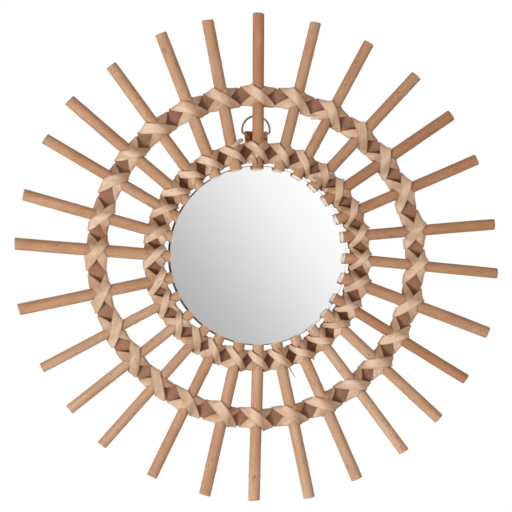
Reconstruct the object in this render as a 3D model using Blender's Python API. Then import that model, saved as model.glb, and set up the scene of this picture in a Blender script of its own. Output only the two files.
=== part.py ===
"""Round wall mirror with a sunburst frame of rattan rods.

Two flat ring boards carry 28 round rods.  Split rattan peel lashes every rod to both rings
with a cross, winding once round each ring in either direction.  The rods' inner ends lie on
the rim of the mirror glass, which a round backing board carries, and a D-ring in a folded
strap at the top of the inner ring is what the mirror hangs by.

The front faces -Y, +X is right and +Z is up.  The origin is where a nail bears inside the
top of the D-ring.
"""
import math

import bmesh
import bpy
from mathutils import Matrix, Vector

MM = 0.001

# Gap left between pieces that touch
GAP = 0.3 * MM

# Rods
ROD_COUNT = 28
ROD_DIAMETER = 11.4 * MM
ROD_OVERHANG = 85.0 * MM
ROD_FIRST_BEARING = 11.0
ROD_LAP = 2.0 * MM
ROD_SIDES = 16

# How the rods were laid by hand, counted anticlockwise from the right: degrees off the even
# spacing, degrees off the radius, then lay steps of reach, of thickness and of lap on the glass
LAY_STEP = 1.0 * MM
ROD_LAY = (
    (-1.5, -4.5, 0.5, 0.0, 2.0), (0.5, -1.0, 1.0, 0.0, 2.0), (0.5, -3.0, 1.0, 0.5, 2.0),
    (0.0, -2.5, 1.0, 0.5, 2.0), (0.5, -1.5, 0.0, 0.0, 1.5), (1.0, -0.5, -1.5, 0.0, 1.0),
    (2.0, -0.5, -0.5, 0.5, 2.0), (2.0, -2.0, -2.5, 1.0, 0.0), (1.5, -4.0, -1.5, 1.0, -1.0),
    (2.0, -2.0, -4.0, 0.5, -2.0), (2.0, -1.5, 0.0, 1.0, -2.5), (0.0, -2.5, -1.5, 0.0, -2.5),
    (1.0, -1.5, -2.0, 0.5, -2.5), (0.0, -2.5, -1.0, 1.0, -2.5), (2.0, -1.0, 0.5, 0.5, -2.5),
    (3.0, 1.0, -1.5, -1.5, -2.5), (2.5, -1.0, -2.0, -1.0, -2.5), (1.5, -3.0, 0.0, -1.0, -2.0),
    (1.5, 0.0, -1.0, -0.5, -2.0), (2.0, -0.5, -1.0, 0.5, -1.5), (1.0, -0.5, -1.0, 0.5, -1.5),
    (1.0, 0.0, 2.0, 0.5, -1.5), (0.5, -0.5, 0.0, 0.5, -1.5), (0.5, 0.0, 1.5, -0.5, -1.0),
    (-0.5, -1.5, 1.5, 0.0, 0.5), (-2.0, -1.5, 1.5, -0.5, 2.0), (-2.0, -3.5, 3.0, 1.0, 2.0),
    (-1.0, -2.5, 1.5, -0.5, 2.0),
)

# Ring boards
OUTER_RING_RADIUS = 167.0 * MM
INNER_RING_RADIUS = 108.0 * MM
RING_WIDTH = 17.5 * MM
RING_THICKNESS = 6.0 * MM
RING_SIDES = 56

# Peel strips that lash the rods on
PEEL_WIDTH = 9.0 * MM
PEEL_THICKNESS = 0.9 * MM
PEEL_SLOPE = math.radians(40.0)
PEEL_FRONT_REACH = 11.3 * MM
PEEL_LOBE = 2.5 * MM
PEEL_EDGE_SLACK = 0.3 * MM

# Mirror glass and its backing board, a little above and right of the middle of the rings
GLASS_TO_RING = 6.75 * MM
GLASS_RAISED = 1.5 * MM
GLASS_ASIDE = 1.0 * MM
GLASS_THICKNESS = 3.0 * MM
BACKING_RIM = 0.6 * MM
BACKING_THICKNESS = 8.7 * MM

# Hanger: D-ring, folded strap and two screws
WIRE_DIAMETER = 2.1 * MM
D_RING_WIDTH = 29.2 * MM
D_RING_HEIGHT = 18.5 * MM
D_RING_CORNER = 2.2 * MM
HINGE_ABOVE_RING = 11.8 * MM
STRAP_LEAF = 1.0 * MM
STRAP_END_PLAY = 0.5 * MM
STRAP_LENGTH = 25.0 * MM
STRAP_CORNER = 4.0 * MM
SCREW_SPACING = 10.0 * MM
SCREW_SHANK = 2.5 * MM
SCREW_HEAD = 5.6 * MM
SCREW_HEAD_HEIGHT = 1.5 * MM
SCREW_BITE = 4.0 * MM
SMALL_SIDES = 10

# Depths along Y, worked out from the wall side forwards
WIRE_RADIUS = WIRE_DIAMETER / 2
TUNNEL_RADIUS = WIRE_RADIUS + GAP
FOLD_RADIUS = TUNNEL_RADIUS + STRAP_LEAF
STRAP_FRONT = -FOLD_RADIUS
STRAP_BACK = STRAP_FRONT + 2 * STRAP_LEAF
PEEL_STACK = 2 * (GAP + PEEL_THICKNESS)
RING_BACK = STRAP_FRONT - GAP - PEEL_STACK
RING_FRONT = RING_BACK - RING_THICKNESS
GLASS_FRONT = RING_FRONT

# Radii that follow from the ring boards
GLASS_RADIUS = INNER_RING_RADIUS - RING_WIDTH / 2 - GLASS_TO_RING
BACKING_RADIUS = GLASS_RADIUS + BACKING_RIM
ROD_TIP_RADIUS = OUTER_RING_RADIUS + ROD_OVERHANG

# Heights, from the nail down
HINGE_Z = WIRE_RADIUS - D_RING_HEIGHT
CENTRE_Z = HINGE_Z - HINGE_ABOVE_RING - INNER_RING_RADIUS - RING_WIDTH / 2
SCREW_Z = CENTRE_Z + INNER_RING_RADIUS


def clear_scene():
    for obj in list(bpy.data.objects):
        bpy.data.objects.remove(obj, do_unlink=True)


def make_material(name, color, roughness, metallic=0.0):
    material = bpy.data.materials.new(name)
    material.use_nodes = True
    shader = material.node_tree.nodes["Principled BSDF"]
    shader.inputs["Base Color"].default_value = (*color, 1.0)
    shader.inputs["Roughness"].default_value = roughness
    shader.inputs["Metallic"].default_value = metallic
    return material


def add_object(name, data, material, location=(0.0, 0.0, 0.0), parent=None):
    obj = bpy.data.objects.new(name, data)
    bpy.context.scene.collection.objects.link(obj)
    if material is not None:
        data.materials.append(material)
    obj.location = location
    obj.parent = parent
    return obj


def mesh_from_bmesh(name, bm, sharp_angle=math.radians(40.0)):
    bmesh.ops.recalc_face_normals(bm, faces=bm.faces)
    mesh = bpy.data.meshes.new(name)
    bm.to_mesh(mesh)
    bm.free()
    mesh.shade_smooth()
    mesh.set_sharp_from_angle(angle=sharp_angle)
    return mesh


def cylinder_mesh(name, radius, depth, sides):
    """A closed cylinder round Z, from z = 0 to z = depth."""
    bm = bmesh.new()
    bmesh.ops.create_cone(bm, cap_ends=True, segments=sides, radius1=radius, radius2=radius,
                          depth=depth, matrix=Matrix.Translation((0.0, 0.0, depth / 2)))
    return mesh_from_bmesh(name, bm)


def turned_mesh(name, profile, sides):
    """A closed solid of revolution round Y; profile is (radius, y) from axis to axis."""
    bm = bmesh.new()
    rows = []
    for radius, y in profile:
        if radius == 0.0:
            rows.append([bm.verts.new((0.0, y, 0.0))])
            continue
        turns = [2 * math.pi * k / sides for k in range(sides)]
        rows.append([bm.verts.new((radius * math.cos(a), y, radius * math.sin(a))) for a in turns])
    for low, high in zip(rows, rows[1:]):
        for k in range(sides):
            corners = [low[k % len(low)], low[(k + 1) % len(low)],
                       high[(k + 1) % len(high)], high[k % len(high)]]
            bm.faces.new(list(dict.fromkeys(corners)))
    return mesh_from_bmesh(name, bm)


def annulus_mesh(name, inner, outer, front, back, sides):
    """A flat ring round Y between two depths."""
    bm = bmesh.new()
    rows = []
    for k in range(sides):
        a = 2 * math.pi * k / sides
        rows.append([bm.verts.new((r * math.cos(a), y, r * math.sin(a)))
                     for r, y in ((inner, front), (outer, front), (outer, back), (inner, back))])
    for k in range(sides):
        here, there = rows[k], rows[(k + 1) % sides]
        for j in range(4):
            bm.faces.new((here[j], here[(j + 1) % 4], there[(j + 1) % 4], there[j]))
    return mesh_from_bmesh(name, bm)


def cut(obj, cutter):
    """Subtract a cutter, which stays in the file as a wire guide."""
    cutter.display_type = "WIRE"
    cutter.hide_render = True
    boolean = obj.modifiers.new("cut_" + cutter.name, "BOOLEAN")
    boolean.operation = "DIFFERENCE"
    boolean.object = cutter


class Rod:
    """One rod: its axis in the plane of the frame, its radius and how far it reaches each way."""

    def __init__(self, index):
        turn, lean, reach, fatness, lap = ROD_LAY[index % len(ROD_LAY)]
        self.bearing = math.radians(ROD_FIRST_BEARING + 360.0 * index / ROD_COUNT + turn)
        heading = self.bearing + math.radians(lean)
        self.radius = (ROD_DIAMETER + fatness * LAY_STEP) / 2
        self.tip = ROD_TIP_RADIUS + reach * LAY_STEP
        self.lap = ROD_LAP + lap * LAY_STEP
        self.along = Vector((math.cos(heading), 0.0, math.sin(heading)))
        self.across = Vector((math.sin(heading), 0.0, -math.cos(heading)))
        self.knot = OUTER_RING_RADIUS * Vector((math.cos(self.bearing), 0.0, math.sin(self.bearing)))
        self.axis_y = RING_FRONT - GAP - self.radius

    def at_radius(self, radius):
        """The point of the axis at a distance from the rings' middle."""
        b = self.knot.dot(self.along)
        run = -b + math.sqrt(b * b - self.knot.length_squared + radius * radius)
        return self.knot + run * self.along

    def on_glass(self):
        """The point of the axis where the rod ends, its lap in from the edge of the glass."""
        spot = self.knot - Vector((GLASS_ASIDE, 0.0, GLASS_RAISED))
        run = math.sqrt((GLASS_RADIUS - self.lap) ** 2 - spot.dot(self.across) ** 2)
        return self.knot + (run - spot.dot(self.along)) * self.along


def add_rod(index, rod, material, centre):
    start = rod.on_glass()
    end = rod.at_radius(rod.tip)
    name = "rattan_rod_%02d" % (index + 1)
    mesh = cylinder_mesh(name, rod.radius, (end - start).length, ROD_SIDES)
    obj = add_object(name, mesh, material, (start.x, rod.axis_y, start.z), centre)
    obj.rotation_euler = rod.along.to_track_quat("Z", "Y").to_euler()
    return obj


class Lashing:
    """A strip of peel wound round one ring board, crossing every rod once.

    hand is 1 for the strip that runs inwards as it goes clockwise and -1 for the other;
    level is 0 for the strip that was wound first and 1 for the one over it.
    """

    def __init__(self, rods, ring_radius, hand, level):
        self.rods = rods
        self.ring_radius = ring_radius
        self.hand = hand
        self.level = level

    def axis_angle(self, index, radius):
        knot = self.rods[index % len(self.rods)].at_radius(radius)
        return math.atan2(knot.z, knot.x)

    def half_gap(self, index, side, q):
        """Half the distance along the ring to the next rod, clockwise for side 1."""
        radius = self.ring_radius + self.hand * q
        turn = (self.axis_angle(index, radius) - self.axis_angle(index - side, radius)) * side
        return turn % (2 * math.pi) / 2 * radius

    def on_ring(self, index, s, q, height):
        """A point s clockwise along the ring from the rod's axis, q out from the ring's middle."""
        radius = self.ring_radius + self.hand * q
        angle = self.axis_angle(index, radius) - s / radius
        return Vector((radius * math.cos(angle), RING_FRONT - height, radius * math.sin(angle)))

    def on_rod(self, index, turn, q, rise):
        """A point round the rod's axis, turn from its front, q along it from the ring."""
        rod = self.rods[index]
        radius = (rod.radius + rise) / math.cos(math.pi / 8)
        point = rod.at_radius(self.ring_radius) + self.hand * q * rod.along
        point += radius * math.sin(turn) * rod.across
        point.y = rod.axis_y - radius * math.cos(turn)
        return point

    def stations(self, index, rise):
        """Pairs of points on the strip's two edges, from the back over the rod to the back."""
        reach = PEEL_FRONT_REACH
        front_half = PEEL_WIDTH / 2 / math.sin(PEEL_SLOPE)
        back_half = PEEL_WIDTH / 2
        ride = PEEL_WIDTH / 2 / math.cos(PEEL_SLOPE)
        edge = RING_WIDTH / 2 + rise + PEEL_EDGE_SLACK
        lobe = RING_WIDTH / 2 + rise + PEEL_LOBE
        back = -RING_THICKNESS - rise
        shoulder = self.rods[index].radius * math.sin(math.pi / 4) * math.tan(PEEL_SLOPE)
        far = {}
        for side in (-1, 1):
            room = min(self.half_gap(index, side, edge), self.half_gap(index, side, -edge))
            far[side] = min(reach + front_half, room - GAP)
        near = {side: min(reach - back_half, far[side] - back_half) for side in (-1, 1)}
        return [
            (self.on_ring(index, -near[-1], edge, back), self.on_ring(index, -far[-1], edge, back)),
            (self.on_rod(index, -math.pi / 2, lobe, rise), self.on_ring(index, -far[-1], edge, rise)),
            (self.on_rod(index, -math.pi / 4, shoulder + ride, rise),
             self.on_rod(index, -math.pi / 4, shoulder - ride, rise)),
            (self.on_rod(index, 0.0, ride, rise), self.on_rod(index, 0.0, -ride, rise)),
            (self.on_rod(index, math.pi / 4, ride - shoulder, rise),
             self.on_rod(index, math.pi / 4, -ride - shoulder, rise)),
            (self.on_ring(index, far[1], -edge, rise), self.on_rod(index, math.pi / 2, -lobe, rise)),
            (self.on_ring(index, far[1], -edge, back), self.on_ring(index, near[1], -edge, back)),
        ]

    def mesh(self, name):
        under = GAP + self.level * (PEEL_THICKNESS + GAP)
        over = under + PEEL_THICKNESS
        bm = bmesh.new()
        rows = []
        for index in reversed(range(len(self.rods))):
            inner = self.stations(index, under)
            outer = self.stations(index, over)
            for (a, b), (c, d) in zip(inner, outer):
                rows.append([bm.verts.new(p) for p in (a, b, d, c)])
        for k, here in enumerate(rows):
            there = rows[(k + 1) % len(rows)]
            for j in range(4):
                a, b = here[j], here[(j + 1) % 4]
                c, d = there[(j + 1) % 4], there[j]
                # Both broad faces split along one diagonal, so crossing strips bend alike
                if j == 2:
                    bm.faces.new((a, b, c))
                    bm.faces.new((a, c, d))
                else:
                    bm.faces.new((b, c, d))
                    bm.faces.new((b, d, a))
        return mesh_from_bmesh(name, bm)


def add_ring(name, radius, material, centre):
    mesh = annulus_mesh(name, radius - RING_WIDTH / 2, radius + RING_WIDTH / 2,
                        RING_FRONT, RING_BACK, RING_SIDES)
    return add_object(name, mesh, material, parent=centre)


def d_ring_points():
    """The wire's centre line in X and Z, with the hinge bar through (0, 0)."""
    half = D_RING_WIDTH / 2
    rise = D_RING_HEIGHT - half
    points = []
    for side in (1, -1):
        corner = [(half - D_RING_CORNER * (1 - math.sin(a)), D_RING_CORNER * (1 - math.cos(a)))
                  for a in (math.pi / 2 * k / 3 for k in range(4))]
        bow = [(half * math.cos(a), rise + half * math.sin(a))
               for a in (math.pi / 2 * k / 6 for k in range(6))]
        run = corner + bow
        if side < 0:
            run = [(0.0, D_RING_HEIGHT)] + [(-x, z) for x, z in reversed(run)]
        points += run
    return points


def add_d_ring(material, parent):
    curve = bpy.data.curves.new("hanging_ring", "CURVE")
    curve.dimensions = "3D"
    curve.bevel_depth = WIRE_RADIUS
    curve.bevel_resolution = 1
    curve.use_fill_caps = True
    points = d_ring_points()
    spline = curve.splines.new("POLY")
    spline.points.add(len(points) - 1)
    for spot, (x, z) in zip(spline.points, points):
        spot.co = (x, 0.0, z, 1.0)
    spline.use_cyclic_u = True
    spline.use_smooth = True
    return add_object("hanging_ring", curve, material, parent=parent)


def add_strap(material, parent):
    """A strip of sheet folded over the hinge bar and laid flat behind the inner ring."""
    half = D_RING_WIDTH / 2 - D_RING_CORNER - STRAP_END_PLAY
    outline = [(half, 0.0), (-half, 0.0)]
    for sx, turn in ((-1, math.pi), (1, 1.5 * math.pi)):
        for k in range(4):
            a = turn + math.pi / 2 * k / 3
            outline.append((sx * (half - STRAP_CORNER) + STRAP_CORNER * math.cos(a),
                            STRAP_CORNER - STRAP_LENGTH + STRAP_CORNER * math.sin(a)))
    bm = bmesh.new()
    front = [bm.verts.new((x, STRAP_FRONT, z)) for x, z in outline]
    face = bm.faces.new(front)
    pulled = bmesh.ops.extrude_face_region(bm, geom=[face])
    back = [v for v in pulled["geom"] if isinstance(v, bmesh.types.BMVert)]
    bmesh.ops.translate(bm, verts=back, vec=(0.0, 2 * STRAP_LEAF, 0.0))
    strap = add_object("hanger_strap", mesh_from_bmesh("hanger_strap", bm), material, parent=parent)

    across = Matrix.Rotation(math.pi / 2, 4, "Y")
    fold_mesh = cylinder_mesh("strap_fold", FOLD_RADIUS, 2 * half, SMALL_SIDES + 2)
    fold_mesh.transform(across @ Matrix.Translation((0.0, 0.0, -half)))
    fold = add_object("strap_fold", fold_mesh, material, parent=parent)
    fold.display_type = "WIRE"
    fold.hide_render = True
    union = strap.modifiers.new("fold", "BOOLEAN")
    union.operation = "UNION"
    union.object = fold

    bore_radius = TUNNEL_RADIUS / math.cos(math.pi / (SMALL_SIDES + 2))
    bore_mesh = cylinder_mesh("strap_tunnel", bore_radius, 3 * half, SMALL_SIDES + 2)
    bore_mesh.transform(across @ Matrix.Translation((0.0, 0.0, -1.5 * half)))
    cut(strap, add_object("strap_tunnel", bore_mesh, material, parent=parent))
    return strap


def add_screw(name, x, material):
    """A pan-head screw through the strap into the ring board."""
    seat = STRAP_BACK + GAP
    tip = RING_BACK - SCREW_BITE
    shank = SCREW_SHANK / 2
    head = SCREW_HEAD / 2
    profile = [(0.0, tip), (shank, tip + shank), (shank, seat), (head, seat),
               (head * 0.8, seat + SCREW_HEAD_HEIGHT), (0.0, seat + SCREW_HEAD_HEIGHT)]
    screw = add_object(name, turned_mesh(name, profile, SMALL_SIDES), material, (x, 0.0, SCREW_Z))
    hole = [(0.0, tip - GAP), (shank + GAP, tip - GAP), (shank + GAP, seat), (0.0, seat)]
    cutter = add_object(name + "_hole", turned_mesh(name + "_hole", hole, SMALL_SIDES), material,
                        (x, 0.0, SCREW_Z))
    return screw, cutter


def build():
    clear_scene()
    tan = make_material("rattan_rod", (0.60, 0.37, 0.23), 0.55)
    pale = make_material("rattan_peel", (0.74, 0.55, 0.38), 0.6)
    brown = make_material("ring_board", (0.26, 0.13, 0.085), 0.7)
    silver = make_material("mirror_glass", (0.9, 0.9, 0.9), 0.03, 1.0)
    backing_brown = make_material("backing_board", (0.24, 0.14, 0.10), 0.8)
    bronze = make_material("hanger_metal", (0.42, 0.26, 0.13), 0.4, 1.0)

    centre = bpy.data.objects.new("mirror_centre", None)
    centre.location = (0.0, 0.0, CENTRE_Z)
    bpy.context.scene.collection.objects.link(centre)
    hinge = bpy.data.objects.new("hinge_axis", None)
    hinge.location = (0.0, 0.0, HINGE_Z)
    bpy.context.scene.collection.objects.link(hinge)

    rods = [Rod(k) for k in range(ROD_COUNT)]
    for k, rod in enumerate(rods):
        add_rod(k, rod, tan, centre)

    add_ring("outer_ring_board", OUTER_RING_RADIUS, brown, centre)
    inner_ring = add_ring("inner_ring_board", INNER_RING_RADIUS, brown, centre)
    for place, radius in (("outer", OUTER_RING_RADIUS), ("inner", INNER_RING_RADIUS)):
        for word, hand, level in (("under", -1, 0), ("over", 1, 1)):
            name = "%s_ring_%s_strip" % (place, word)
            add_object(name, Lashing(rods, radius, hand, level).mesh(name), pale, parent=centre)

    disc_centre = (GLASS_ASIDE, 0.0, GLASS_RAISED)
    glass_back = GLASS_FRONT + GLASS_THICKNESS
    backing_front = glass_back + GAP
    backing_back = backing_front + BACKING_THICKNESS
    glass = [(0.0, GLASS_FRONT), (GLASS_RADIUS, GLASS_FRONT),
             (GLASS_RADIUS, glass_back), (0.0, glass_back)]
    add_object("mirror_glass", turned_mesh("mirror_glass", glass, RING_SIDES), silver,
               disc_centre, centre)
    board = [(0.0, backing_front), (BACKING_RADIUS, backing_front),
             (BACKING_RADIUS, backing_back), (0.0, backing_back)]
    add_object("backing_board", turned_mesh("backing_board", board, RING_SIDES), backing_brown,
               disc_centre, centre)

    add_d_ring(bronze, hinge)
    strap = add_strap(bronze, hinge)
    for name, x in (("left_screw", -SCREW_SPACING / 2), ("right_screw", SCREW_SPACING / 2)):
        screw, hole = add_screw(name, x, bronze)
        cut(strap, hole)
        cut(inner_ring, hole)


build()
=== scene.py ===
"""Studio picture of a round wall mirror in a sunburst frame of lashed rattan rods."""
import math
import random

import bpy
import numpy as np
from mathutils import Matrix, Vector, noise


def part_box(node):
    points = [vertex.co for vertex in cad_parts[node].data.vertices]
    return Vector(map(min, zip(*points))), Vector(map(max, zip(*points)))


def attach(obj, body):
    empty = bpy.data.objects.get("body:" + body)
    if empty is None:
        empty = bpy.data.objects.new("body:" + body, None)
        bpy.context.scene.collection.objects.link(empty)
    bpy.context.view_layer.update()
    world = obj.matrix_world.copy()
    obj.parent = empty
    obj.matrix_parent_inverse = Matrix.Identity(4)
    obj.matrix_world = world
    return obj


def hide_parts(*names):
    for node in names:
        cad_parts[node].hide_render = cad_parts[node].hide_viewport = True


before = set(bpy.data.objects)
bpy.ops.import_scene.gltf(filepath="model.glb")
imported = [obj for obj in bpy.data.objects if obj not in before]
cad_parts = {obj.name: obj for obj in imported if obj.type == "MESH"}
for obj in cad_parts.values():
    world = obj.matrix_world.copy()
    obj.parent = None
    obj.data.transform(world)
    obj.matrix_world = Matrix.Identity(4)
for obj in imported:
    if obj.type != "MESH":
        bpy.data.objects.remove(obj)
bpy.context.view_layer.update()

MM = 0.001
MICRON = 1e-6
GAP = 0.3 * MM

# Places and sizes read from the solids
GLASS_LOW, GLASS_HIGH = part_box("mirror_glass")
BOARD_LOW, BOARD_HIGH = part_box("outer_ring_board")
INNER_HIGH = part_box("inner_ring_board")[1]
BACKING_LOW, BACKING_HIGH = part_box("backing_board")
STRAP_LOW, STRAP_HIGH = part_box("hanger_strap")
LOOP_LOW, LOOP_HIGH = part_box("hanging_ring")
CENTRE = Vector((0.0, 0.0, (BOARD_LOW.z + BOARD_HIGH.z) / 2))
DISC_CENTRE = Vector(((GLASS_LOW.x + GLASS_HIGH.x) / 2, 0.0, (GLASS_LOW.z + GLASS_HIGH.z) / 2)) - CENTRE
RING_FRONT = BOARD_LOW.y
RING_BACK = BOARD_HIGH.y

# Ring boards, whose width is the same, and the middle of each
RING_WIDTH = 17.5 * MM
RING_CHAMFER = 0.6 * MM
OUTER_RADIUS = BOARD_HIGH.x - RING_WIDTH / 2
INNER_RADIUS = INNER_HIGH.x - RING_WIDTH / 2

# Discs, with their seamed or chamfered edges, and the sides of everything that is turned
GLASS_RADIUS = (GLASS_HIGH.x - GLASS_LOW.x) / 2
GLASS_SEAM = 0.4 * MM
BACKING_RADIUS = (BACKING_HIGH.x - BACKING_LOW.x) / 2
BACKING_CHAMFER = 0.8 * MM
BACKING_FRONT_CHAMFER = 0.3 * MM
DISC_SIDES = 256
SCREW_SIDES = 72
WIRE_SIDES = 20

# Rods: how finely they are meshed, then how far they stray from a true cylinder
ROD_COUNT = 28
ROD_SIDES = 40
ROD_STEP = 2.2 * MM
ROD_END_ZONE = 1.2 * MM
ROD_OVALNESS = 0.024
ROD_LUMPS = 0.010
ROD_SWAY = 0.5 * MM
KNOT_REACH = 1.6 * MM
SAW_SLANT = 0.09
CHIP_DEPTH = 2.2 * MM

# Each end of a rod, from the middle of its face to its side: how far in from the face, the share
# of the radius, and how much of the sawn grain shows
RIM_SHARE = 0.955
ROD_ENDS = ((0.0, 0.25, 1.0), (0.0, 0.55, 1.0), (0.0, 0.82, 0.9), (0.1 * MM, RIM_SHARE, 0.3),
            (0.55 * MM, 1.0, 0.0))

# How much redder and darker than the rest a rod is, or paler, counted anticlockwise from the right;
# partly the rods' own tone, partly painted shade on the upper right rods and painted light on the lower
# left ones
ROD_TONE_AND_SHADE = {1: 0.6, 2: 0.75, 3: 1.0, 4: 0.35, 5: 0.2, 7: 0.8, 8: 0.1, 11: 0.15, 12: 0.3, 13: 0.3,
              14: 0.2, 15: 0.3, 16: -0.2, 17: -0.3, 18: -0.1, 20: 0.1, 21: -0.3, 22: -0.6,
              23: -0.3, 24: -0.9, 25: -0.2, 26: 0.9, 27: 0.3, 28: 0.5}

# Lashing strips: size and mesh, the room they need round the board and over each other, and tones
OUTER_PEEL_WIDTH = 10.6 * MM
INNER_PEEL_WIDTH = 7.9 * MM
PEEL_THICKNESS = 0.9 * MM
PEEL_COLUMNS = 9
PEEL_STEP = 1.1 * MM
PEEL_EASE = 0.1 * MM
PEEL_LAYER = 0.5 * MM
PEEL_TUCK = 0.5 * MM
PEEL_SHADES = (-0.1, 0.0, 0.05, 0.1, 0.2, 0.4)
# Tone added to the under and the over strip: painted shade that darkens the under strip and lightens the
# over strip
LEVEL_PAINTED_SHADES = (0.3, -0.1)

# How far the strips stray, as they were wound by hand: the slope in degrees, the rest in millimetres
SLOPE_SPREAD = 3.5
SHIFT_SPREAD = 1.3
CORNER_SPREAD = 0.9
LIFT_SPREAD = 0.9
BULGE_LEAST, BULGE_SPREAD, BULGE_BIAS = 0.5, 2.2, 1.6

# Loose ends: thinner than the strips and meshed on their own
LOOSE_THICKNESS = 0.5 * MM
LOOSE_COLUMNS = 5
LOOSE_STEP = 0.7 * MM

# Ends of peel that stick out or lie double: ring and strip, tone, then stations from the
# middle of the rings in mm: x, z, height over the ring board and width
LOOSE_ENDS = (
    (("inner", 1), 0.9, ((18.6, -94.6, 13.2, 1.2), (24.5, -104.5, 15.6, 1.8), (31.0, -115.0, 14.6, 1.6),
                         (37.3, -125.1, 11.0, 0.4))),
    (("inner", 1), 0.2, ((-29.0, 112.5, 13.6, 3.6), (-24.0, 116.0, 13.8, 4.4), (-19.5, 119.2, 12.6, 4.2),
                         (-17.0, 119.8, 11.4, 3.2))),
    (("outer", 1), -0.1, ((55.0, 145.0, 4.5, 4.0), (60.0, 144.4, 5.5, 3.8), (64.0, 146.0, 6.0, 3.2))),
    (("inner", 0), 0.1, ((54.0, 80.5, 12.5, 2.6), (58.0, 78.5, 14.0, 3.0), (61.0, 81.0, 13.0, 2.0),
                         (58.5, 83.0, 11.5, 1.0))),
    (("inner", 0), 0.5, ((-9.0, 104.0, 12.5, 5.0), (-5.5, 98.0, 13.5, 4.6), (-4.0, 93.5, 13.2, 3.0))),
    (("inner", 1), 0.4, ((-92.0, -46.0, 7.5, 3.2), (-88.5, -52.0, 9.0, 3.4), (-83.5, -56.0, 8.0, 2.6))),
    (("inner", 1), 0.6, ((-85.0, 82.5, 5.5, 3.0), (-84.0, 76.5, 7.0, 3.2), (-84.5, 70.0, 5.5, 2.8))),
    (("outer", 0), 0.2, ((59.6, 134.0, 1.5, 0.4), (58.2, 129.4, 2.0, 0.4), (56.3, 124.7, 1.5, 0.3))),
)


# Materials

def add_node(tree, kind, settings=None, **inlets):
    """Adds a shader node; inlets are values or sockets, named i0, i1 ... or by their label."""
    node = tree.nodes.new("ShaderNode" + kind)
    for key, value in (settings or {}).items():
        setattr(node, key, value)
    for key, value in inlets.items():
        inlet = node.inputs[int(key[1:])] if key[1:].isdigit() else node.inputs[key]
        if isinstance(value, bpy.types.NodeSocket):
            tree.links.new(value, inlet)
        else:
            inlet.default_value = value
    return node


class Finish:
    """A procedural material put together in short steps."""

    def __init__(self, name, roughness=0.5, metallic=0.0, specular=0.3):
        self.material = bpy.data.materials.new(name)
        self.material.use_nodes = True
        self.tree = self.material.node_tree
        self.shader = self.tree.nodes["Principled BSDF"]
        self.shader.inputs["Roughness"].default_value = roughness
        self.shader.inputs["Metallic"].default_value = metallic
        self.shader.inputs["Specular IOR Level"].default_value = specular

    def add(self, kind, outlet=0, settings=None, **inlets):
        return add_node(self.tree, kind, settings, **inlets).outputs[outlet]

    def value(self, name):
        """Point data of the mesh with one number a point."""
        return self.add("Attribute", 2, {"attribute_name": name})

    def vector(self, name):
        """Point data of the mesh with three numbers a point."""
        return self.add("Attribute", 1, {"attribute_name": name})

    def stretched(self, vector, scale):
        return self.add("VectorMath", settings={"operation": "MULTIPLY"}, i0=vector, i1=scale)

    def noise(self, vector, scale, detail=3.0, rough=0.55):
        return self.add("TexNoise", Vector=vector, Scale=scale, Detail=detail, Roughness=rough)

    def band(self, value, low, high, to_low=0.0, to_high=1.0):
        """Maps low..high to to_low..to_high, held flat outside."""
        return self.add("MapRange", Value=value, i1=low, i2=high, i3=to_low, i4=to_high)

    def math(self, operation, a, b):
        return self.add("Math", settings={"operation": operation}, i0=a, i1=b)

    def mix(self, share, a, b):
        return self.add("Mix", 2, {"data_type": "RGBA"}, i0=share, i6=a, i7=b)

    def finish(self, color, bump=None, bump_depth=0.1 * MM, roughness=None):
        self.tree.links.new(color, self.shader.inputs["Base Color"])
        if bump is not None:
            normal = self.add("Bump", Strength=1.0, Distance=bump_depth, Height=bump)
            self.tree.links.new(normal, self.shader.inputs["Normal"])
        if roughness is not None:
            self.tree.links.new(roughness, self.shader.inputs["Roughness"])
        return self.material


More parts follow.
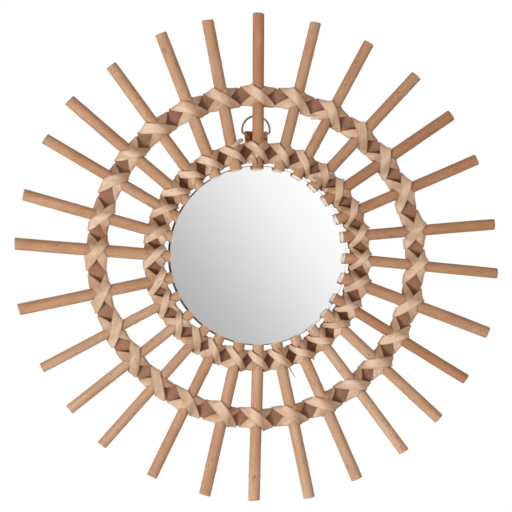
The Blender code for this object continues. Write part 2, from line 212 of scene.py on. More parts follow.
def rod_finish():
    """Cane with fine fibres, dark streaks, scars and flecks, its tone per rod partly painted shade; the
    outer sawn ends show its pores, the inner sawn ends are painted near white as a painted highlight.
    """
    pale, tan, red = (0.64, 0.46, 0.33, 1.0), (0.535, 0.33, 0.21, 1.0), (0.42, 0.215, 0.118, 1.0)
    streak_brown, fibre_brown = (0.41, 0.245, 0.15, 1.0), (0.40, 0.24, 0.14, 1.0)
    scar_brown, fleck_brown = (0.27, 0.13, 0.075, 1.0), (0.22, 0.11, 0.065, 1.0)
    sawn_tan, pore_brown = (0.50, 0.34, 0.22, 1.0), (0.20, 0.12, 0.08, 1.0)
    painted_highlight_white, chipped_brown = (0.98, 0.93, 0.88, 1.0), (0.30, 0.17, 0.10, 1.0)
    f = Finish("rattan_rod_finish", specular=0.25)
    lay = f.vector("lay")
    fibre = f.noise(f.stretched(lay, (1.0, 1.0, 0.03)), 900.0, 2.0, 0.5)
    streak = f.noise(f.stretched(lay, (1.0, 1.0, 0.05)), 330.0, 2.0, 0.5)
    patch = f.noise(f.stretched(lay, (1.0, 1.0, 0.35)), 75.0, 3.0, 0.55)
    fleck = f.noise(f.stretched(lay, (1.0, 1.0, 0.3)), 620.0, 1.0, 0.5)
    scar = f.noise(f.stretched(lay, (1.0, 1.0, 0.22)), 190.0, 4.0, 0.7)
    # Each rod's own tone, which also carries painted shade on the upper right rods and painted light on
    # the lower left ones, with random patches
    tone_and_shade = f.math("ADD", f.value("tone_and_shade"), f.band(patch, 0.38, 0.64, -0.35, 0.35))
    base = f.mix(f.band(tone_and_shade, -1.0, 0.0), pale, tan)
    base = f.mix(f.band(tone_and_shade, 0.0, 1.0), base, red)
    base = f.mix(f.band(streak, 0.42, 0.68, 0.0, 0.35), base, streak_brown)
    base = f.mix(f.band(fibre, 0.35, 0.65, 0.16, 0.0), base, fibre_brown)
    base = f.mix(f.band(scar, 0.645, 0.70, 0.0, 0.75), base, scar_brown)
    base = f.mix(f.band(fleck, 0.69, 0.73, 0.0, 0.75), base, fleck_brown)
    pores = f.add("TexVoronoi", Vector=f.vector("sawn"), Scale=1500.0)
    grain = f.mix(f.band(pores, 0.12, 0.34, 0.75, 0.0), sawn_tan, pore_brown)
    # The inner sawn ends are painted near white, with no pores: a painted highlight
    grain = f.mix(f.value("inner"), grain, painted_highlight_white)
    color = f.mix(f.value("end"), base, grain)
    color = f.mix(f.value("rough_edge"), color, chipped_brown)
    bump = f.math("ADD", f.band(fibre, 0.3, 0.7, 0.0, 0.6), f.band(streak, 0.3, 0.7, 0.0, 1.0))
    bump = f.math("SUBTRACT", bump, f.band(scar, 0.64, 0.74, 0.0, 0.8))
    bump = f.math("MULTIPLY", bump, f.math("SUBTRACT", 1.0, f.value("end")))
    return f.finish(color, bump, 0.07 * MM, f.band(streak, 0.3, 0.7, 0.42, 0.62))


def peel_finish():
    """Split peel, pale to brown by its tone, with faint fibres, lines and thin dark edges; the tone holds
    painted shade on the under strips, and the dark lower rims and underside are painted shade.
    """
    pale, brown = (0.765, 0.605, 0.47, 1.0), (0.46, 0.28, 0.165, 1.0)
    line_brown, fibre_brown = (0.50, 0.32, 0.20, 1.0), (0.50, 0.33, 0.21, 1.0)
    fleck_brown, edge_and_shade_brown = (0.30, 0.15, 0.08, 1.0), (0.36, 0.20, 0.11, 1.0)
    f = Finish("rattan_peel_finish", specular=0.25)
    lay = f.vector("lay")
    fibre = f.noise(f.stretched(lay, (1.0, 1.0, 0.03)), 1700.0, 3.0, 0.6)
    line = f.noise(f.stretched(lay, (1.0, 0.3, 0.02)), 650.0, 2.0, 0.5)
    patch = f.noise(f.stretched(lay, (0.5, 1.0, 0.45)), 105.0, 2.0, 0.5)
    fleck = f.noise(f.stretched(lay, (1.0, 1.0, 0.4)), 480.0, 1.0, 0.5)
    tone = f.math("ADD", f.value("tone"), f.band(patch, 0.36, 0.66, -0.35, 0.6))
    base = f.mix(f.band(tone, -0.1, 1.0), pale, brown)
    base = f.mix(f.band(line, 0.50, 0.70, 0.0, 0.3), base, line_brown)
    base = f.mix(f.band(fibre, 0.3, 0.6, 0.2, 0.0), base, fibre_brown)
    base = f.mix(f.band(fleck, 0.72, 0.76, 0.0, 0.6), base, fleck_brown)
    # Darker cut edges, and painted shade at the strip's lower rims and underside
    base = f.mix(f.value("edge"), base, edge_and_shade_brown)
    bump = f.math("ADD", f.band(fibre, 0.3, 0.7, 0.0, 0.7), f.band(line, 0.35, 0.7, 1.0, 0.0))
    return f.finish(base, bump, 0.06 * MM, f.band(fibre, 0.3, 0.7, 0.48, 0.66))


def board_finish(name, light, dark):
    """Brown ply with short fibres and darker patches."""
    f = Finish(name, specular=0.15)
    lay = f.vector("lay")
    fibre = f.noise(f.stretched(lay, (1.0, 1.0, 0.12)), 900.0, 4.0, 0.65)
    patch = f.noise(lay, 70.0, 3.0, 0.6)
    base = f.mix(f.band(fibre, 0.34, 0.66), dark, light)
    base = f.mix(f.band(patch, 0.4, 0.66, 0.0, 0.45), base, dark)
    return f.finish(base, fibre, 0.15 * MM, f.band(fibre, 0.3, 0.7, 0.6, 0.8))


def backing_finish():
    """Pressed fibre board, mottled, with darker clouds."""
    dark, light, cloud_brown = (0.17, 0.095, 0.06, 1.0), (0.33, 0.21, 0.145, 1.0), (0.21, 0.12, 0.08, 1.0)
    f = Finish("backing_board_finish", specular=0.15)
    lay = f.vector("lay")
    chips = f.noise(f.stretched(lay, (1.0, 1.0, 1.0)), 700.0, 4.0, 0.7)
    cloud = f.noise(lay, 30.0, 3.0, 0.55)
    base = f.mix(f.band(chips, 0.35, 0.68), dark, light)
    base = f.mix(f.band(cloud, 0.35, 0.7, 0.0, 0.4), base, cloud_brown)
    return f.finish(base, chips, 0.08 * MM, f.band(chips, 0.3, 0.7, 0.65, 0.8))


def mirror_finish():
    """Silvered glass with the faintest haze."""
    f = Finish("mirror_finish", roughness=0.015, metallic=1.0)
    haze = f.noise(f.vector("lay"), 25.0, 2.0, 0.5)
    color = f.mix(haze, (0.955, 0.958, 0.955, 1.0), (0.965, 0.966, 0.965, 1.0))
    return f.finish(color)


def glass_edge_finish():
    """The dark, rippled edge and back of the glass."""
    f = Finish("glass_edge_finish", roughness=0.25, specular=0.5)
    ripple = f.noise(f.stretched(f.vector("lay"), (1.0, 1.0, 4.0)), 300.0, 3.0, 0.6)
    color = f.mix(f.band(ripple, 0.35, 0.65), (0.035, 0.05, 0.045, 1.0), (0.10, 0.13, 0.12, 1.0))
    return f.finish(color, ripple, 0.05 * MM)


def bronze_finish():
    """Stained brass, brighter where it is worn or scratched."""
    stained, bare = (0.16, 0.065, 0.028, 1.0), (0.66, 0.34, 0.15, 1.0)
    worn_brass, scratched = (0.80, 0.62, 0.36, 1.0), (0.75, 0.58, 0.36, 1.0)
    f = Finish("hanger_bronze_finish", metallic=1.0)
    lay = f.vector("lay")
    stain = f.noise(lay, 330.0, 4.0, 0.65)
    scratch = f.noise(f.stretched(lay, (0.1, 1.0, 1.0)), 1800.0, 2.0, 0.6)
    color = f.mix(f.band(stain, 0.38, 0.62), stained, bare)
    color = f.mix(f.value("worn"), color, worn_brass)
    color = f.mix(f.band(scratch, 0.6, 0.75, 0.0, 0.3), color, scratched)
    return f.finish(color, stain, 0.03 * MM, f.band(stain, 0.3, 0.7, 0.28, 0.5))


def floor_finish():
    """A pale floor, a little cloudy."""
    darker, lighter = (0.82, 0.82, 0.81, 1.0), (0.86, 0.86, 0.85, 1.0)
    f = Finish("floor_finish", roughness=0.9, specular=0.1)
    cloud = f.noise(f.add("TexCoord", 3), 3.0, 2.0, 0.5)
    return f.finish(f.mix(cloud, darker, lighter))


# Mesh helpers

def make_piece(name, points, faces, materials, body, sharp_degrees, values=None, vectors=None):
    """A smooth mesh piece from points about the rings' middle, with its named point data.

    Edges that turn by more than sharp_degrees stay sharp.
    """
    mesh = bpy.data.meshes.new(name)
    mesh.from_pydata([tuple(Vector(p) + CENTRE) for p in points], [], faces)
    for key, data in (values or {}).items():
        layer = mesh.attributes.new(key, "FLOAT", "POINT")
        layer.data.foreach_set("value", np.asarray(data, dtype=np.float32))
    for key, data in (vectors or {}).items():
        layer = mesh.attributes.new(key, "FLOAT_VECTOR", "POINT")
        layer.data.foreach_set("vector", np.asarray(data, dtype=np.float32).ravel())
    for material in materials:
        mesh.materials.append(material)
    mesh.shade_smooth()
    mesh.update()
    mesh.set_sharp_from_angle(angle=math.radians(sharp_degrees))
    obj = bpy.data.objects.new(name, mesh)
    bpy.context.scene.collection.objects.link(obj)
    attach(obj, body)
    return obj


def grid_faces(rows, columns, close_rows=False):
    """Quads between neighbouring rows of points; each row runs round to its own start."""
    faces = []
    for i in range(rows if close_rows else rows - 1):
        a, b = i * columns, (i + 1) % rows * columns
        for j in range(columns):
            k = (j + 1) % columns
            faces.append((a + j, a + k, b + k, b + j))
    return faces


def capped_faces(rows, columns, flip=False):
    """The same quads, with a face over the first and the last row; flip turns both faces over."""
    first = list(range(columns))
    last = [(rows - 1) * columns + k for k in reversed(first)]
    caps = [first[::-1], last[::-1]] if flip else [first, last]
    return grid_faces(rows, columns) + [tuple(cap) for cap in caps]


def turned(profile, sides):
    """Points and quads of a closed profile of (radius, y) turned round Y.

    A disc's profile starts and ends a hair off the axis, so that its rows don't meet in one point.
    """
    points = []
    for k in range(sides):
        a = 2 * math.pi * k / sides
        points += [Vector((r * math.cos(a), y, r * math.sin(a))) for r, y in profile]
    return points, grid_faces(sides, len(profile), close_rows=True)


def smooth_path(pairs, spacing, closed):
    """Pairs of edge points along a strip, filled in with even curves (centripetal Catmull-Rom)."""
    pairs = [(Vector(a), Vector(b)) for a, b in pairs]
    count = len(pairs)
    filled = []
    for i in range(count if closed else count - 1):
        near = []
        for j in (i - 1, i, i + 1, i + 2):
            near.append(pairs[j % count] if closed else pairs[min(max(j, 0), count - 1)])
        middles = [(a + b) / 2 for a, b in near]
        knots = [0.0]
        for p, q in zip(middles, middles[1:]):
            knots.append(knots[-1] + max((q - p).length, 1e-5) ** 0.5)
        steps = max(1, round((middles[2] - middles[1]).length / spacing))
        for s in range(steps):
            t = knots[1] + (knots[2] - knots[1]) * s / steps
            filled.append(tuple(catmull(t, knots, [pair[e] for pair in near]) for e in (0, 1)))
    if not closed:
        filled.append(pairs[-1])
    return filled


def catmull(t, k, p):
    """The point at t on the curve through p[1] and p[2], with the four knots k of the points p."""
    a = [p[i].lerp(p[i + 1], (t - k[i]) / (k[i + 1] - k[i])) for i in range(3)]
    b = [a[i].lerp(a[i + 1], (t - k[i]) / (k[i + 2] - k[i])) for i in range(2)]
    return b[0].lerp(b[1], (t - k[1]) / (k[2] - k[1]))


# Rods

class Rod:
    """A rod's axis and radius, taken from its solid."""

    def __init__(self, number):
        self.number = number
        self.node = "rattan_rod_%02d" % number
        points = np.array([v.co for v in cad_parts[self.node].data.vertices]) - np.array(CENTRE)
        middle = (points.min(0) + points.max(0)) / 2
        along = np.linalg.svd(points - middle)[2][0]
        along *= math.copysign(1.0, float(along @ middle))
        run = (points - middle) @ along
        off = points - middle - np.outer(run, along)
        self.radius = float(np.linalg.norm(off, axis=1).max())
        self.along = Vector(along)
        self.across = Vector((along[2], 0.0, -along[0]))
        self.start = Vector(middle + along * run.min())
        self.length = float(run.max() - run.min())
        self.axis_y = self.start.y

    def at_radius(self, radius):
        """The place on the axis that is this far from the middle of the rings."""
        flat = Vector((self.start.x, 0.0, self.start.z))
        b = flat.dot(self.along)
        return self.start + (-b + math.sqrt(b * b - flat.length_squared + radius * radius)) * self.along


def rod_rows(rod):
    """Rows from the inner to the outer end of a rod.

    Each is (run along the rod, share of the radius, how much of the sawn grain shows, end);
    end is 0 at the inner end, 1 at the outer end and -1 between them.
    """
    count = round(rod.length / ROD_STEP)
    runs = [rod.length * k / count for k in range(count + 1)]
    inner = [(run, share, end, 0) for run, share, end in ROD_ENDS]
    between = [(run, 1.0, 0.0, -1) for run in runs if ROD_END_ZONE < run < rod.length - ROD_END_ZONE]
    outer = [(rod.length - run, share, end, 1) for run, share, end in reversed(ROD_ENDS)]
    return inner + between + outer


def build_rod(rod, material):
    """A cane a little oval and bowed, with knots, slanted saw cuts and a chipped outer rim."""
    rng = random.Random(100 + rod.number)
    seed = Vector((rng.uniform(0, 9), rng.uniform(0, 9), rng.uniform(0, 9)))
    # The rod's tone: its own redness, together with painted shade on the upper right rods and painted
    # light on the lower left ones
    tone_and_shade = ROD_TONE_AND_SHADE.get(rod.number, 0.0) + rng.uniform(-0.1, 0.1)
    slants = [(rng.uniform(-SAW_SLANT, SAW_SLANT), rng.uniform(-SAW_SLANT, SAW_SLANT)) for end in (0, 1)]
    knots = [(rng.uniform(0.1, 0.95) * rod.length, rng.uniform(0.15, 0.4) * MM)
             for k in range(rng.choice((0, 1, 1, 2)))]
    rows = rod_rows(rod)
    points, lay, sawn, ends, edges = [], [], [], [], []
    for run, share, end, side in rows:
        for k in range(ROD_SIDES):
            a = 2 * math.pi * k / ROD_SIDES
            s, c = math.sin(a), math.cos(a)
            shape = noise.noise(Vector((s * 0.8, c * 0.8, run * 22.0)) + seed) * ROD_OVALNESS
            shape += noise.noise(Vector((s * 3.0, c * 3.0, run * 60.0)) + seed) * ROD_LUMPS
            swell = sum(high * math.exp(-((run - at) / KNOT_REACH) ** 2) for at, high in knots)
            radius = (rod.radius * (1.0 + shape) + swell) * share
            t = run
            if side >= 0:
                slant = slants[side]
                t += radius * (slant[0] * s + slant[1] * c)
                chip = noise.noise(Vector((s * 2.2, c * 2.2, side * 5.0)) + seed)
                t -= side * max(0.0, chip - 0.25) * CHIP_DEPTH * share ** 4
            bend = noise.noise(Vector((run * 9.0, 0.3, 0.0)) + seed) * ROD_SWAY
            points.append(rod.start + t * rod.along + (radius * s + bend) * rod.across
                          - Vector((0.0, radius * c, 0.0)))
            lay.append(seed + Vector((radius * s, radius * c, run)))
            sawn.append((seed.x + radius * s, seed.y + radius * c, 0.0))
            if side == 0:
                ends.append(1.0 if share < 1.0 else 0.0)
            else:
                ends.append(end if share < 0.9 else 0.0)
            edges.append(0.35 if share == RIM_SHARE and side == 1 else 0.0)
    # The inner half of the points, whose end face gets the painted highlight
    inner = [1.0 if i < len(points) // 2 else 0.0 for i in range(len(points))]
    obj = make_piece(rod.node + "_cane", points, capped_faces(len(rows), ROD_SIDES), [material],
                     "mirror_frame", 38,
                     values={"tone_and_shade": [tone_and_shade] * len(points), "end": ends, "rough_edge": edges,
                             "inner": inner},
                     vectors={"lay": lay, "sawn": sawn})
    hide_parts(rod.node)


# Lashing

class Lashing:
    """One strip of peel wound round a ring board, crossing every rod once.

    hand is 1 for the strip that runs inwards as it goes clockwise and -1 for the other;
    level is 0 for the strip that was wound first and 1 for the one over it. slope is in degrees.
    slacks, for the board's inner and outer edge, and sag are in millimetres.
    """

    def __init__(self, rods, ring_radius, width, slope, slacks, sag, hand, level, seed):
        self.rods = rods
        self.width = width
        self.ring_radius = ring_radius
        self.slope = slope
        self.slacks = slacks
        self.sag = sag
        self.hand = hand
        self.level = level
        self.seed = seed

    def axis_angle(self, index, radius):
        """The bearing of a rod's axis at this distance from the middle of the rings."""
        spot = self.rods[index % ROD_COUNT].at_radius(radius)
        return math.atan2(spot.z, spot.x)

    def half_gap(self, index, side, q):
        """Half the way along the ring from a rod's axis to its neighbour's on this side."""
        radius = self.ring_radius + self.hand * q
        turn = (self.axis_angle(index, radius) - self.axis_angle(index - side, radius)) * side
        return turn % (2 * math.pi) / 2 * radius

    def on_ring(self, index, s, q, height):
        """s clockwise along the ring from the rod's axis, q out from the ring's middle."""
        radius = self.ring_radius + self.hand * q
        angle = self.axis_angle(index, radius) - s / radius
        return Vector((radius * math.cos(angle), RING_FRONT - height, radius * math.sin(angle)))

    def on_rod(self, index, turn, q, rise):
        """turn round the rod's axis from its front, q along it from the ring."""
        rod = self.rods[index]
        radius = rod.radius + rise
        point = rod.at_radius(self.ring_radius) + self.hand * q * rod.along
        point += radius * math.sin(turn) * rod.across
        point.y = rod.axis_y - radius * math.cos(turn)
        return point

    def half_crossing(self, index, side, width, slope, shift, rng):
        """Pairs of near and far edge points from the rod's top out to the back of the board.

        The near edge slides down the rod's flank and bulges past the board; the far edge
        leaves the rod and runs straight to the board's edge.
        """
        rise = GAP + self.level * (PEEL_THICKNESS + GAP)
        layer = self.level * PEEL_LAYER
        out = -side
        edge = RING_WIDTH / 2 + rise + PEEL_EASE
        deep = RING_BACK - RING_FRONT
        back = -deep - rise - PEEL_EASE
        radius = self.rods[index].radius + rise
        ride = width / 2 / math.cos(slope)
        beyond = edge + (BULGE_LEAST + BULGE_SPREAD * rng.random() ** BULGE_BIAS) * MM
        lift = rng.uniform(0.0, LIFT_SPREAD) * MM
        snug = RING_WIDTH / 2 + GAP + layer
        slack = self.slacks[out * self.hand > 0] * MM
        stray = rng.uniform(-CORNER_SPREAD, CORNER_SPREAD) * MM
        far = self.half_gap(index, side, out * edge) + slack + stray
        near = far - width

        def flank(degrees, sign, extra=0.0, limit=1.0):
            """On the rod, this far round from its front, on the near edge (1) or the far edge (-1)."""
            turn = math.radians(degrees)
            q = min(radius * turn * math.tan(slope) + sign * ride + shift, limit)
            return self.on_rod(index, side * turn, out * q, rise + extra)

        def board(s, q, height):
            """Beside the rod: s from its axis, q out from the ring's middle, height over the board."""
            return self.on_ring(index, side * s, out * q, height)

        crest, shoulder, flat_side, foot = 21, 42, 64, 84
        leave = flank(shoulder, -1)
        corner = board(far, snug - PEEL_TUCK, GAP + layer)
        sideways = (board(1.0 * MM, 0.0, 0.0) - board(0.0, 0.0, 0.0)) / MM

        def between(t):
            """On the far edge, from where it leaves the rod to the board's edge."""
            return leave.lerp(corner, t) + sideways * self.sag * math.sin(math.pi * t) * MM

        eased = edge + 0.4 * (beyond - edge)
        return [
            (flank(crest, 1), flank(crest, -1)),
            (flank(shoulder, 1, 0.0, beyond), leave),
            (flank(flat_side, 1, PEEL_EASE, beyond), between(0.25)),
            (flank(foot, 1, lift * 0.5, beyond), between(0.62)),
            (board(radius + lift, beyond - PEEL_TUCK, 2.6 * MM), corner),
            (board(radius + lift * 0.5, eased, -0.6 * MM), board(far, snug, -0.9 * MM)),
            (board(near, edge + PEEL_EASE, -deep * 0.6), board(far, snug, -deep * 0.55)),
            (board(near, edge, back + 0.6 * MM), board(far, edge, back + 0.6 * MM)),
            (board(near, edge - 0.7 * MM, back), board(far, edge - 0.7 * MM, back)),
            (board(near + 1.0 * MM, edge * 0.3, back), board(far + 1.0 * MM, edge * 0.3, back)),
        ]

    def crossing(self, index):
        """Pairs of edge points from the middle of the back, over one rod, to the back again."""
        rng = random.Random(self.seed * 1000 + index)
        width = self.width * rng.uniform(0.93, 1.06)
        slope = math.radians(self.slope + rng.uniform(-SLOPE_SPREAD, SLOPE_SPREAD))
        ride = width / 2 / math.cos(slope)
        rise = GAP + self.level * (PEEL_THICKNESS + GAP)
        shift = rng.uniform(-SHIFT_SPREAD, SHIFT_SPREAD) * MM
        before = self.half_crossing(index, -1, width, slope, -shift, rng)
        after = self.half_crossing(index, 1, width, slope, shift, rng)
        top = (self.on_rod(index, 0.0, ride - shift, rise), self.on_rod(index, 0.0, -ride - shift, rise))
        return list(reversed(before)) + [top] + [(far, near) for near, far in after]


def edge_shade(v, top):
    """How dark a point is drawn, v across the strip from -1 to 1: the top rims darker as cut edges, the
    lower rims darkest and the underside darker, as painted shade.
    """
    if abs(v) == 1:
        return 0.5 if top else 0.85
    return 0.0 if top else 0.35


def ribbon(rows, closed, tones, seed, core, columns, thickness):
    """A strip with a crowned top from rows of edge points; core(point) is a point inside it."""
    count = len(rows)
    points, lay, tone, edge = [], [], [], []
    run = 0.0
    for i, (a, b) in enumerate(rows):
        before = rows[(i - 1) % count] if closed else rows[max(i - 1, 0)]
        after = rows[(i + 1) % count] if closed else rows[min(i + 1, count - 1)]
        ahead = (after[0] + after[1]) - (before[0] + before[1])
        middle = (a + b) / 2
        normal = (a - b).cross(ahead).normalized()
        if normal.dot(middle - core(middle)) < 0:
            normal.negate()
        run += (middle - (before[0] + before[1]) / 2).length
        half = (a - b).length / 2
        for top in (1, 0):
            for j in range(columns):
                v = 1 - 2 * j / (columns - 1) if top else -1 + 2 * j / (columns - 1)
                high = (0.6 + 0.06 * (1 - v ** 4)) * thickness if top else 0.0
                high += 0.05 * MM * (1 - v * v)
                spot = middle + v * (a - b) / 2 + high * normal
                points.append(spot)
                lay.append((seed + v * half, seed * 0.7 + high, seed * 1.3 + run))
                tone.append(tones[i])
                edge.append(edge_shade(v, top))
    if closed:
        faces = grid_faces(count, 2 * columns, close_rows=True)
    else:
        faces = capped_faces(count, 2 * columns, flip=True)
    return points, faces, {"tone": tone, "edge": edge}, {"lay": lay}


def build_lashing(place, lashing, material):
    """One strip, endless round its ring, with its loose ends."""
    ring_radius, level, seed = lashing.ring_radius, lashing.level, lashing.seed
    rng = random.Random(seed)
    pairs, shades = [], []
    for index in reversed(range(ROD_COUNT)):
        pairs += lashing.crossing(index)
        # Each crossing gets a random tone plus its strip's painted shade
        shades.append(rng.choice(PEEL_SHADES) + LEVEL_PAINTED_SHADES[level])
    rows = smooth_path(pairs, PEEL_STEP, closed=True)
    tones = [shades[int(i / len(rows) * ROD_COUNT)] for i in range(len(rows))]
    depth = (RING_FRONT + RING_BACK) / 2

    def core(point):
        """The nearest place inside the ring board."""
        flat = Vector((point.x, 0.0, point.z)).normalized() * ring_radius
        return Vector((flat.x, depth, flat.z))

    def behind(point):
        return point + Vector((0.0, 20.0 * MM, 0.0))

    points, faces, values, vectors = ribbon(rows, True, tones, seed, core, PEEL_COLUMNS, PEEL_THICKNESS)
    for number, (where, tone, stations) in enumerate(LOOSE_ENDS):
        if where != (place, level):
            continue
        run = smooth_path(loose_end(stations), LOOSE_STEP, closed=False)
        more = ribbon(run, False, [tone] * len(run), seed + 10 + number, behind,
                      LOOSE_COLUMNS, LOOSE_THICKNESS)
        faces += [tuple(i + len(points) for i in face) for face in more[1]]
        points += more[0]
        for key in values:
            values[key] += more[2][key]
        vectors["lay"] += more[3]["lay"]
    node = "%s_ring_%s_strip" % (place, ("under", "over")[level])
    obj = make_piece(node + "_peel", points, faces, [material], "mirror_frame", 38,
                     values=values, vectors=vectors)
    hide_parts(node)


def loose_end(stations):
    """Edge pairs of a narrow piece of peel from (x, z, height over the ring, width) stations."""
    spots = [Vector((x, RING_FRONT / MM - height, z)) for x, z, height, wide in stations]
    pairs = []
    for i, (spot, station) in enumerate(zip(spots, stations)):
        ahead = spots[min(i + 1, len(spots) - 1)] - spots[max(i - 1, 0)]
        side = ahead.cross(Vector((0.0, 1.0, 0.0))).normalized() * station[3] / 2
        pairs.append(((spot - side) * MM, (spot + side) * MM))
    return pairs


# Boards, glass and backing

def turned_piece(name, node, profile, materials, middle=Vector()):
    """A disc or ring that stands for a node; its grain runs round it."""
    points, faces = turned(profile, DISC_SIDES)
    lay = [(math.hypot(p.x, p.z), p.y, math.atan2(p.z, p.x) * 0.1) for p in points]
    points = [p + middle for p in points]
    obj = make_piece(name, points, faces, materials, "mirror_frame", 35, vectors={"lay": lay})
    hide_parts(node)
    return obj


def build_ring(node, radius, material):
    """A flat ring with all four edges chamfered."""
    half, chamfer = RING_WIDTH / 2, RING_CHAMFER
    front, back = RING_FRONT, RING_BACK
    profile = [(radius - half, front + chamfer), (radius - half + chamfer, front),
               (radius + half - chamfer, front), (radius + half, front + chamfer),
               (radius + half, back - chamfer), (radius + half - chamfer, back),
               (radius - half + chamfer, back), (radius - half, back - chamfer)]
    turned_piece(node + "_ply", node, profile, [material])


def build_glass(mirror, edge):
    """A silvered disc with a seamed edge; the face and the edge have their own finish."""
    front, back = GLASS_LOW.y, GLASS_HIGH.y
    seam = GLASS_SEAM
    profile = [(MICRON, front), (GLASS_RADIUS - seam, front), (GLASS_RADIUS, front + seam),
               (GLASS_RADIUS, back - seam), (GLASS_RADIUS - seam, back), (MICRON, back)]
    obj = turned_piece("mirror_glass_plate", "mirror_glass", profile, [mirror, edge],
                       DISC_CENTRE)
    for face in obj.data.polygons:
        front_face = all(obj.data.vertices[v].co.y < front + seam + MICRON for v in face.vertices)
        face.material_index = 0 if front_face else 1


def build_backing(material):
    """A disc with a slight chamfer in front and a wider one at the wall side."""
    front, back = BACKING_LOW.y, BACKING_HIGH.y
    small, wide = BACKING_FRONT_CHAMFER, BACKING_CHAMFER
    profile = [(MICRON, front), (BACKING_RADIUS - small, front), (BACKING_RADIUS, front + small),
               (BACKING_RADIUS, back - wide), (BACKING_RADIUS - wide, back), (MICRON, back)]
    turned_piece("backing_board_disc", "backing_board", profile, [material], DISC_CENTRE)


# Hanger

def tube(path, radius, sides):
    """Points and faces of a round wire along an open path in the XZ plane."""
    points = []
    count = len(path)
    for i, p in enumerate(path):
        ahead = (path[min(i + 1, count - 1)] - path[max(i - 1, 0)]).normalized()
        side = ahead.cross(Vector((0.0, 1.0, 0.0))).normalized()
        for k in range(sides):
            a = 2 * math.pi * k / sides
            points.append(p + radius * (math.cos(a) * side + math.sin(a) * Vector((0.0, 1.0, 0.0))))
    return points, capped_faces(count, sides)


def build_hanging_ring(material):
    """The D-ring, one wire whose ends meet in the middle of the straight bar."""
    wire = (LOOP_HIGH.y - LOOP_LOW.y) / 2
    hinge = Vector((0.0, 0.0, LOOP_LOW.z + wire)) - CENTRE
    half = (LOOP_HIGH.x - LOOP_LOW.x) / 2 - wire
    height = LOOP_HIGH.z - LOOP_LOW.z - 2 * wire
    corner = 2.2 * MM
    cut = 0.25 * MM
    rise = height - half
    # Right half: from the cut along the bar, round the corner and up the bow
    right = [(cut, 0.0), (half * 0.4, 0.0), (half - corner - 0.6 * MM, 0.0)]
    right += [(half - corner + corner * math.sin(a), corner - corner * math.cos(a))
              for a in (math.pi / 2 * k / 8 for k in range(9))]
    right += [(half * math.cos(a), rise + half * math.sin(a))
              for a in (math.pi / 2 * k / 24 for k in range(24))]
    run = right + [(0.0, height)] + [(-x, z) for x, z in reversed(right)]
    path = [hinge + Vector((x, 0.0, z)) for x, z in run]
    points, faces = tube(path, wire, WIRE_SIDES)
    worn = [0.25 + 0.5 * max(0.0, noise.noise(p * 160.0)) for p in points]
    ring = make_piece("hanging_ring_wire", points, faces, [material], "hanging_ring", 50,
                      values={"worn": worn}, vectors={"lay": [tuple(p) for p in points]})
    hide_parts("hanging_ring")


def strap_path(sheet, bore, hinge_z, low):
    """Middle of the sheet, (y, z), from the foot of the front leaf round the bar to the back foot."""
    wrap = math.radians(230)
    closing = 3.2 * MM
    leaf = -(bore + sheet / 2)
    turn = bore + sheet / 2
    path = [(leaf, low + (hinge_z - low) * k / 30) for k in range(31)]
    path += [(-turn * math.cos(a), hinge_z + turn * math.sin(a))
             for a in (wrap * k / 24 for k in range(1, 25))]
    y, z = path[-1]
    tuck = leaf + sheet + 0.05 * MM
    path += [(y + (tuck - y) * smooth_step(k / 8), z - closing * k / 8) for k in range(1, 9)]
    foot = path[-1][1]
    path += [(tuck, foot + (low + 0.3 * MM - foot) * k / 28) for k in range(1, 29)]
    return path


def build_strap(material):
    """Sheet folded over the hinge bar, with both leaves lying flat together below it."""
    sheet = 0.95 * MM
    bar = (LOOP_HIGH.y - LOOP_LOW.y) / 2
    half = (STRAP_HIGH.x - STRAP_LOW.x) / 2
    low = STRAP_LOW.z - CENTRE.z
    corner = 4.0 * MM
    path = strap_path(sheet, bar + GAP, LOOP_LOW.z + bar - CENTRE.z, low)
    columns = 15
    points, worn = [], []
    for i, (y, z) in enumerate(path):
        before, after = path[max(i - 1, 0)], path[min(i + 1, len(path) - 1)]
        ahead = Vector((0.0, after[0] - before[0], after[1] - before[1])).normalized()
        normal = Vector((0.0, -ahead.z, ahead.y))
        over = corner - (z - low)
        wide = half - (corner - math.sqrt(max(0.0, corner ** 2 - over ** 2)) if over > 0 else 0.0)
        for face in (1, -1):
            for j in range(columns):
                v = (1 - 2 * j / (columns - 1)) * face
                spot = Vector((v * wide, y, z)) + normal * face * sheet / 2
                ripple = 0.06 * MM * noise.noise(spot * 240.0)
                points.append(spot + normal * ripple)
                rim = 0.5 if abs(v) == 1 else 0.0
                worn.append(max(0.0, rim * noise.noise(spot * 500.0) * 2))
    faces = capped_faces(len(path), 2 * columns, flip=True)
    strap = make_piece("hanger_strap_sheet", points, faces, [material], "mirror_frame", 40,
                       values={"worn": worn}, vectors={"lay": [tuple(p) for p in points]})
    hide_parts("hanger_strap")


def smooth_step(t):
    return t * t * (3 - 2 * t)


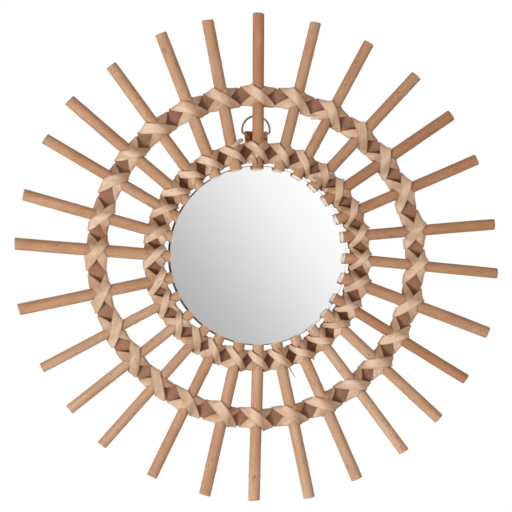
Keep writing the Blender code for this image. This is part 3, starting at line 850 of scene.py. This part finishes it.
def build_screw(node, material):
    """A domed screw with a straight slot, its shank in the ring board."""
    low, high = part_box(node)
    radius = (high.x - low.x) / 2
    middle = (low + high) / 2 - CENTRE
    tip = 1e-5
    rim, dome = 0.25 * MM, 1.25 * MM
    seat = high.y - rim - dome
    shank = 1.25 * MM
    threads, pitch, thread = 7, 0.5 * MM, 0.25 * MM
    profile = [(tip, low.y), (shank * 0.5, low.y + shank * 0.5), (shank, low.y + shank * 1.5)]
    for k in range(threads):
        y = low.y + 2.2 * MM + k * pitch
        profile += [(shank, y), (shank - thread, y + thread)]
    profile += [(shank, seat), (radius - 0.15 * MM, seat), (radius, seat + rim)]
    profile += [(radius * math.cos(a), seat + rim + dome * math.sin(a))
                for a in (math.pi / 2 * k / 10 for k in range(1, 10))]
    profile += [(tip, high.y)]
    points, faces = turned(profile, SCREW_SIDES)
    slot_turn = math.radians(35.0 if middle.x > 0 else 110.0)
    across = Vector((math.cos(slot_turn), 0.0, math.sin(slot_turn)))
    slot_half, slot_floor = 0.5 * MM, seat + 0.75 * MM
    placed = []
    for p in points:
        sunk = p.y > slot_floor and abs(p.dot(across)) < slot_half
        y = slot_floor if sunk else p.y
        placed.append(Vector((p.x + middle.x, y, p.z + middle.z)))
    obj = make_piece(node + "_turned", placed, faces, [material], "mirror_frame", 35,
                     values={"worn": [0.2 if p.y > seat else 0.0 for p in placed]},
                     vectors={"lay": [tuple(p) for p in placed]})
    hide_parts(node)


# Studio

def build_camera():
    """The photograph's view: a long lens, a little from the left and from below."""
    picture_size = 512
    azimuth, below, distance = math.radians(9.0), math.radians(2.0), 2.45
    aim = CENTRE + Vector((0.0, RING_FRONT - 6.3 * MM, 0.0))
    away = Vector((-math.sin(azimuth) * math.cos(below), -math.cos(azimuth) * math.cos(below),
                   -math.sin(below)))
    data = bpy.data.cameras.new("camera")
    data.sensor_width = 36.0
    data.lens = 167.06
    data.shift_x = -2.6 / picture_size
    data.shift_y = 0.5 / picture_size
    camera = bpy.data.objects.new("camera", data)
    bpy.context.scene.collection.objects.link(camera)
    camera.location = aim + distance * away
    camera.rotation_euler = (-away).to_track_quat("-Z", "Y").to_euler()
    bpy.context.scene.camera = camera


def build_key_light():
    """A soft lamp at the left and below, which the mirror doesn't show."""
    distance, toward = 2.4, Vector((-0.60, -0.71, -0.37))
    data = bpy.data.lights.new("key_light", "AREA")
    data.shape = "DISK"
    data.size = 1.0
    data.energy = 57.5
    key = bpy.data.objects.new("key_light", data)
    bpy.context.scene.collection.objects.link(key)
    key.location = CENTRE + distance * toward
    key.rotation_euler = (CENTRE - key.location).to_track_quat("-Z", "Y").to_euler()
    key.visible_glossy = False


def build_world():
    """White behind the object, a warm fill light, and a wall for the mirror to show."""
    white, warm = (1.0, 1.0, 1.0, 1.0), (1.0, 0.80, 0.64, 1.0)
    world = bpy.data.worlds.new("studio")
    bpy.context.scene.world = world
    world.use_nodes = True
    tree = world.node_tree
    tree.nodes.clear()
    ray = add_node(tree, "LightPath")
    heading = add_node(tree, "TexCoord").outputs["Generated"]
    # The wall brightens to the upper right
    toward = add_node(tree, "VectorMath", {"operation": "DOT_PRODUCT"}, i0=heading,
                      i1=(0.80, 0.0, 0.60)).outputs["Value"]
    shade = add_node(tree, "MapRange", {"interpolation_type": "SMOOTHSTEP"}, Value=toward,
                     i1=0.098, i2=0.189, i3=0.455, i4=1.04).outputs[0]
    fill = add_node(tree, "Background", Color=warm, Strength=0.5).outputs[0]
    wall = add_node(tree, "Background", Color=white, Strength=shade).outputs[0]
    backdrop = add_node(tree, "Background", Color=white, Strength=1.0).outputs[0]
    lit = add_node(tree, "MixShader", i0=ray.outputs["Is Glossy Ray"], i1=fill, i2=wall).outputs[0]
    seen = add_node(tree, "MixShader", i0=ray.outputs["Is Camera Ray"], i1=lit, i2=backdrop).outputs[0]
    add_node(tree, "OutputWorld", Surface=seen)


def build_floor():
    """A plain pale floor, well below the mirror."""
    far = 2.2
    corners = [(-far, -far, 0.0), (far, -far, 0.0), (far, far, 0.0), (-far, far, 0.0)]
    data = bpy.data.meshes.new("floor")
    data.from_pydata(corners, [], [(0, 1, 2, 3)])
    data.materials.append(floor_finish())
    floor = bpy.data.objects.new("floor", data)
    floor.location = (0.0, 0.0, -1.15)
    bpy.context.scene.collection.objects.link(floor)


build_camera()
build_key_light()
build_world()
build_floor()
bpy.context.scene.view_settings.view_transform = "Standard"

cane = rod_finish()
peel = peel_finish()
rods = [Rod(number) for number in range(1, ROD_COUNT + 1)]
for rod in rods:
    build_rod(rod, cane)

# Each ring: its name, the radius of its middle, its strips' width, the slopes of the under and
# the over strip, their slack at the board's inner and outer edge, sag and seed
for place, radius, width, slopes, slacks, sag, seed in (
        ("outer", OUTER_RADIUS, OUTER_PEEL_WIDTH, (31.0, 37.0), (0.4, -2.0), 0.6, 1),
        ("inner", INNER_RADIUS, INNER_PEEL_WIDTH, (42.0, 36.0), (1.0, 0.4), 0.1, 3)):
    for hand, level in ((-1, 0), (1, 1)):
        lashing = Lashing(rods, radius, width, slopes[level], slacks, sag, hand, level, seed + level)
        build_lashing(place, lashing, peel)

build_ring("outer_ring_board", OUTER_RADIUS,
           board_finish("outer_board_finish", (0.47, 0.275, 0.185, 1.0), (0.31, 0.16, 0.105, 1.0)))
build_ring("inner_ring_board", INNER_RADIUS,
           board_finish("inner_board_finish", (0.40, 0.215, 0.145, 1.0), (0.26, 0.13, 0.085, 1.0)))
build_glass(mirror_finish(), glass_edge_finish())
build_backing(backing_finish())
bronze = bronze_finish()
build_hanging_ring(bronze)
build_strap(bronze)
for node in ("left_screw", "right_screw"):
    build_screw(node, bronze)
